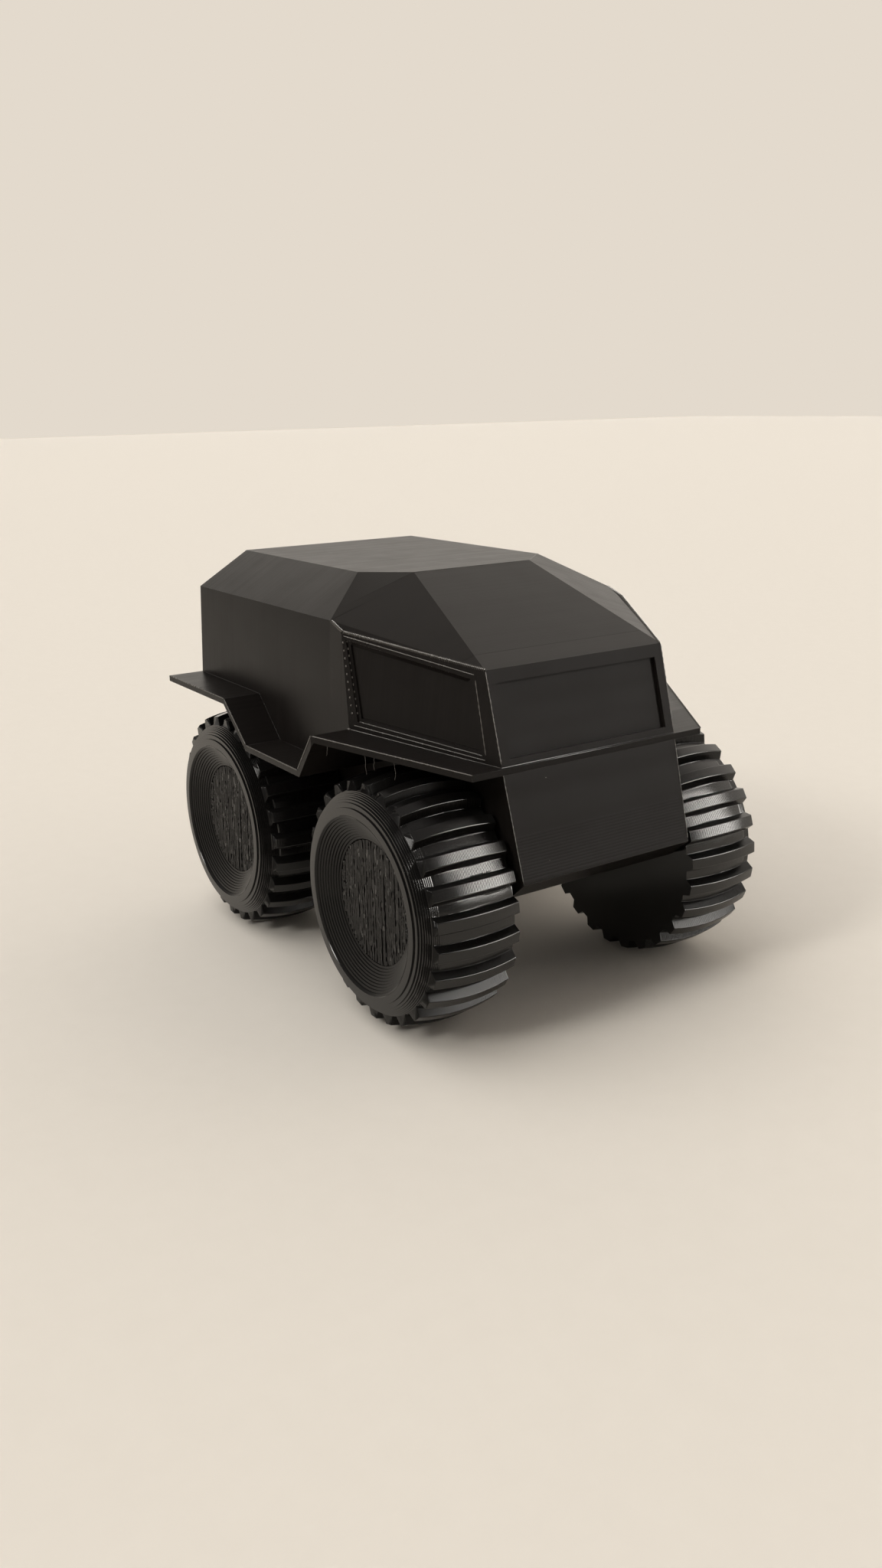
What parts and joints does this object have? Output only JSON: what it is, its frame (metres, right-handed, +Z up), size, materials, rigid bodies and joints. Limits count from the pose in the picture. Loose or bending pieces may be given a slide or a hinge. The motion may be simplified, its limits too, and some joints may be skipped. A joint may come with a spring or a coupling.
{
  "type": "printed scale model of an amphibious all-terrain vehicle",
  "caption": "Printed plastic scale model of an amphibious off-road vehicle: faceted closed hull with recessed windows, ribbon fenders and oversized lugged balloon wheels that roll on axle rods.",
  "frame": {"origin": "on the ground, at the middle of the bounding box's bottom", "axes": "+X forward along the longest extent, +Y to the vehicle's left, +Z up"},
  "size_m": [0.0706, 0.0552, 0.0521],
  "materials": {
    "hull": "satin printed black",
    "axle": "printed black",
    "wheel": "glossy printed black"
  },
  "bodies": {
    "body": {"hull": "hull", "axle_front": "axle", "axle_rear": "axle"},
    "front_right": {"wheel_front_right": "wheel"},
    "front_left": {"wheel_front_left": "wheel"},
    "rear_right": {"wheel_rear_right": "wheel"},
    "rear_left": {"wheel_rear_left": "wheel"}
  },
  "joints": [
    {"name": "front_right_roll", "type": "hinge", "parent": "body", "child": "front_right", "pos_m": [0.01972, -0.0198, 0.01557], "axis": [0, 1, 0], "continuous": true},
    {"name": "front_left_roll", "type": "hinge", "parent": "body", "child": "front_left", "pos_m": [0.01972, 0.0198, 0.01557], "axis": [0, 1, 0], "continuous": true},
    {"name": "rear_right_roll", "type": "hinge", "parent": "body", "child": "rear_right", "pos_m": [-0.01972, -0.0198, 0.01557], "axis": [0, 1, 0], "continuous": true},
    {"name": "rear_left_roll", "type": "hinge", "parent": "body", "child": "rear_left", "pos_m": [-0.01972, 0.0198, 0.01557], "axis": [0, 1, 0], "continuous": true}
  ]
}
